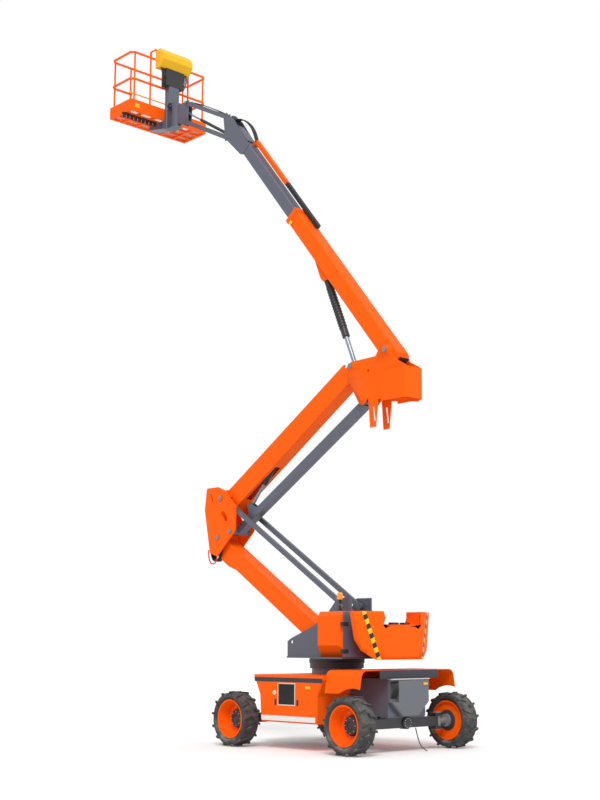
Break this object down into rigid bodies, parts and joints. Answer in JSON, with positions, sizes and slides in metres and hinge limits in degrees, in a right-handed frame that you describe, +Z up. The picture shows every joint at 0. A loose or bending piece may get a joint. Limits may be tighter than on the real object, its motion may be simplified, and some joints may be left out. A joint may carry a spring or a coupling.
{
  "type": "articulating boom lift",
  "caption": "Self-propelled aerial work platform: folding risers, telescopic boom, jib and railed platform on a slewing turntable over a wheeled chassis.",
  "frame": {"origin": "on the ground, straight under the axis on which the turntable slews", "axes": "+X the way the boom reaches, +Y the machine's left, +Z up"},
  "size_m": [7.3925, 2.487, 12.935],
  "materials": {
    "orange_paint": "gloss",
    "grey_paint": "satin",
    "black_paint": "satin",
    "tyre": "matte",
    "chrome_rod": "polished",
    "iron": "painted",
    "floor_mesh": "mill",
    "black_rubber": "matte",
    "nylon": "plain",
    "cover_orange": "gloss",
    "yellow_paint": "gloss",
    "cover_grey": "moulded",
    "amber": "clear",
    "yellow": "plain",
    "battery_case": "plain"
  },
  "bodies": {
    "chassis": {"chassis_frame": "black_paint", "front_axle": "black_paint", "rear_axle": "black_paint", "side_cover_left": "cover_orange", "side_cover_right": "cover_orange", "battery_pack_left": "battery_case", "battery_pack_right": "battery_case", "deck": "black_paint", "fender_shell": "orange_paint", "end_cover": "cover_grey", "slew_ring": "black_paint"},
    "steer_left": {"steer_knuckle_left": "black_paint"},
    "steer_right": {"steer_knuckle_right": "black_paint"},
    "wheel_front_left": {"tyre_front_left": "tyre", "rim_front_left": "orange_paint"},
    "wheel_front_right": {"tyre_front_right": "tyre", "rim_front_right": "orange_paint"},
    "wheel_rear_left": {"tyre_rear_left": "tyre", "rim_rear_left": "orange_paint"},
    "wheel_rear_right": {"tyre_rear_right": "tyre", "rim_rear_right": "orange_paint"},
    "turntable": {"turntable_frame": "grey_paint", "tower_plate_left": "grey_paint", "tower_plate_right": "grey_paint", "counterweight": "iron", "saddle_pads": "black_rubber", "hood_left": "cover_orange", "hood_right": "cover_orange", "beacon_post": "black_paint", "beacon_lens": "amber"},
    "lower_riser": {"lower_riser": "orange_paint"},
    "lower_links": {"lower_link_left": "grey_paint", "lower_link_right": "grey_paint"},
    "mid_link": {"mid_link": "orange_paint"},
    "upper_riser": {"upper_riser": "orange_paint"},
    "upper_link": {"upper_link": "grey_paint"},
    "riser_barrel": {"riser_cylinder_barrel": "black_paint"},
    "riser_rod": {"riser_cylinder_rod": "chrome_rod"},
    "knuckle": {"riser_knuckle": "orange_paint"},
    "boom": {"main_boom": "orange_paint", "wear_pads": "nylon"},
    "lift_barrel": {"lift_cylinder_barrel": "black_paint"},
    "lift_rod": {"lift_cylinder_rod": "chrome_rod"},
    "fly": {"fly_boom": "grey_paint", "hose_tray": "orange_paint", "drag_chain": "nylon"},
    "jib_base": {"jib_base": "grey_paint"},
    "jib_upper": {"jib_upper_arm": "grey_paint"},
    "jib_lower": {"jib_lower_arm": "grey_paint"},
    "jib_barrel": {"jib_cylinder_barrel": "black_paint"},
    "jib_rod": {"jib_cylinder_rod": "chrome_rod"},
    "jib_end": {"jib_end": "grey_paint"},
    "platform": {"platform_mount": "grey_paint", "platform_frame": "orange_paint", "platform_floor": "floor_mesh", "console_cover": "yellow", "console_base": "black_paint", "toothed_bar": "black_paint"},
    "entry_bar": {"entry_bar": "yellow_paint"}
  },
  "joints": [
    {"name": "spin_front_left", "type": "hinge", "parent": "chassis", "child": "wheel_front_left", "pos_m": [1.13, 1.091, 0.419], "axis": [0, 1, 0], "continuous": true},
    {"name": "spin_front_right", "type": "hinge", "parent": "chassis", "child": "wheel_front_right", "pos_m": [1.13, -1.091, 0.419], "axis": [0, 1, 0], "continuous": true},
    {"name": "steer_left", "type": "hinge", "parent": "chassis", "child": "steer_left", "pos_m": [-1.396, 0.76, 0.419], "axis": [0, 0, 1], "range_deg": [-30, 30]},
    {"name": "steer_right", "type": "hinge", "parent": "chassis", "child": "steer_right", "pos_m": [-1.396, -0.76, 0.419], "axis": [0, 0, 1], "range_deg": [-30, 30]},
    {"name": "spin_rear_left", "type": "hinge", "parent": "steer_left", "child": "wheel_rear_left", "pos_m": [-1.396, 1.091, 0.419], "axis": [0, 1, 0], "continuous": true},
    {"name": "spin_rear_right", "type": "hinge", "parent": "steer_right", "child": "wheel_rear_right", "pos_m": [-1.396, -1.091, 0.419], "axis": [0, 1, 0], "continuous": true},
    {"name": "turntable_swing", "type": "hinge", "parent": "chassis", "child": "turntable", "pos_m": [0, 0, 1.34], "axis": [0, 0, 1], "continuous": true},
    {"name": "riser_lift", "type": "hinge", "parent": "turntable", "child": "lower_riser", "pos_m": [0.062, 0, 1.664], "axis": [0, -1, 0], "range_deg": [-29.6, 17.5]},
    {"name": "lower_links_turn", "type": "hinge", "parent": "turntable", "child": "lower_links", "pos_m": [-0.335, 0, 2.136], "axis": [0, -1, 0], "range_deg": [-29.6, 17.5]},
    {"name": "mid_link_level", "type": "hinge", "parent": "lower_riser", "child": "mid_link", "pos_m": [2.72762, 0, 3.3648], "axis": [0, -1, 0], "range_deg": [-17.5, 29.6]},
    {"name": "upper_riser_turn", "type": "hinge", "parent": "mid_link", "child": "upper_riser", "pos_m": [2.65962, 0, 4.0338], "axis": [0, -1, 0], "range_deg": [-17.5, 29.6]},
    {"name": "upper_link_turn", "type": "hinge", "parent": "mid_link", "child": "upper_link", "pos_m": [2.40362, 0, 3.4488], "axis": [0, -1, 0], "range_deg": [-17.5, 29.6]},
    {"name": "riser_cylinder_pivot", "type": "hinge", "parent": "upper_riser", "child": "riser_barrel", "pos_m": [1.31962, 0, 4.7138], "axis": [0, -1, 0], "range_deg": [-6, 4]},
    {"name": "riser_cylinder_stroke", "type": "slide", "parent": "riser_barrel", "child": "riser_rod", "axis": [0.674, 0, -0.7388], "range_m": [-0.32, 0.19]},
    {"name": "knuckle_level", "type": "hinge", "parent": "upper_riser", "child": "knuckle", "pos_m": [-0.46938, 0, 5.89167], "axis": [0, -1, 0], "range_deg": [-29.6, 17.5]},
    {"name": "boom_lift", "type": "hinge", "parent": "knuckle", "child": "boom", "pos_m": [-1.23138, 0, 6.03967], "axis": [0, 1, 0], "range_deg": [-24.3, 46.7]},
    {"name": "lift_cylinder_pivot", "type": "hinge", "parent": "boom", "child": "lift_barrel", "pos_m": [0.22632, 0, 7.49697], "axis": [0, 1, 0], "range_deg": [-4, 7]},
    {"name": "lift_cylinder_stroke", "type": "slide", "parent": "lift_barrel", "child": "lift_rod", "axis": [-0.3895, 0, -0.921], "range_m": [-0.61, 0.32]},
    {"name": "telescope", "type": "slide", "parent": "boom", "child": "fly", "axis": [0.6334, 0, 0.7738], "range_m": [-1.95, 0.9]},
    {"name": "jib_base_level", "type": "hinge", "parent": "fly", "child": "jib_base", "pos_m": [2.81734, 0, 11.05571], "axis": [0, 1, 0], "range_deg": [-46.7, 24.3]},
    {"name": "jib_lift", "type": "hinge", "parent": "jib_base", "child": "jib_upper", "pos_m": [2.81734, 0, 11.05571], "axis": [0, -1, 0], "range_deg": [-88.3, 41.7]},
    {"name": "jib_lower_turn", "type": "hinge", "parent": "jib_base", "child": "jib_lower", "pos_m": [2.83834, 0, 10.67771], "axis": [0, -1, 0], "range_deg": [-88.3, 41.7]},
    {"name": "jib_end_level", "type": "hinge", "parent": "jib_upper", "child": "jib_end", "pos_m": [4.05001, 0, 11.71944], "axis": [0, -1, 0], "range_deg": [-41.7, 88.3]},
    {"name": "jib_cylinder_pivot", "type": "hinge", "parent": "jib_base", "child": "jib_barrel", "pos_m": [2.86834, 0, 10.76771], "axis": [0, -1, 0], "range_deg": [-91, 43]},
    {"name": "jib_cylinder_stroke", "type": "slide", "parent": "jib_barrel", "child": "jib_rod", "axis": [0.8426, 0, 0.5386], "range_m": [-0.15, 0.08]},
    {"name": "entry_bar_lift", "type": "slide", "parent": "platform", "child": "entry_bar", "axis": [0, 0, 1], "range_m": [0, 0.4]},
    {"name": "platform_rotate", "type": "hinge", "parent": "jib_end", "child": "platform", "pos_m": [4.44001, 0, 11.71944], "axis": [0, 0, 1], "range_deg": [-90, 90]}
  ],
  "couplings": [
    {"joint": "steer_right", "follows": "steer_left", "ratio": 1},
    {"joint": "lower_links_turn", "follows": "riser_lift", "ratio": 1},
    {"joint": "mid_link_level", "follows": "riser_lift", "ratio": -1},
    {"joint": "upper_riser_turn", "follows": "riser_lift", "ratio": -1},
    {"joint": "upper_link_turn", "follows": "riser_lift", "ratio": -1},
    {"joint": "riser_cylinder_pivot", "follows": "riser_lift", "ratio": 0.1715},
    {"joint": "riser_cylinder_stroke", "follows": "riser_lift", "m_per_rad": 0.604},
    {"joint": "knuckle_level", "follows": "riser_lift", "ratio": 1},
    {"joint": "lift_cylinder_pivot", "follows": "boom_lift", "ratio": 0.13},
    {"joint": "lift_cylinder_stroke", "follows": "boom_lift", "m_per_rad": -0.6958},
    {"joint": "jib_base_level", "follows": "boom_lift", "ratio": -1},
    {"joint": "jib_lower_turn", "follows": "jib_lift", "ratio": 1},
    {"joint": "jib_end_level", "follows": "jib_lift", "ratio": -1},
    {"joint": "jib_cylinder_pivot", "follows": "jib_lift", "ratio": 1.0241},
    {"joint": "jib_cylinder_stroke", "follows": "jib_lift", "m_per_rad": 0.0902}
  ]
}
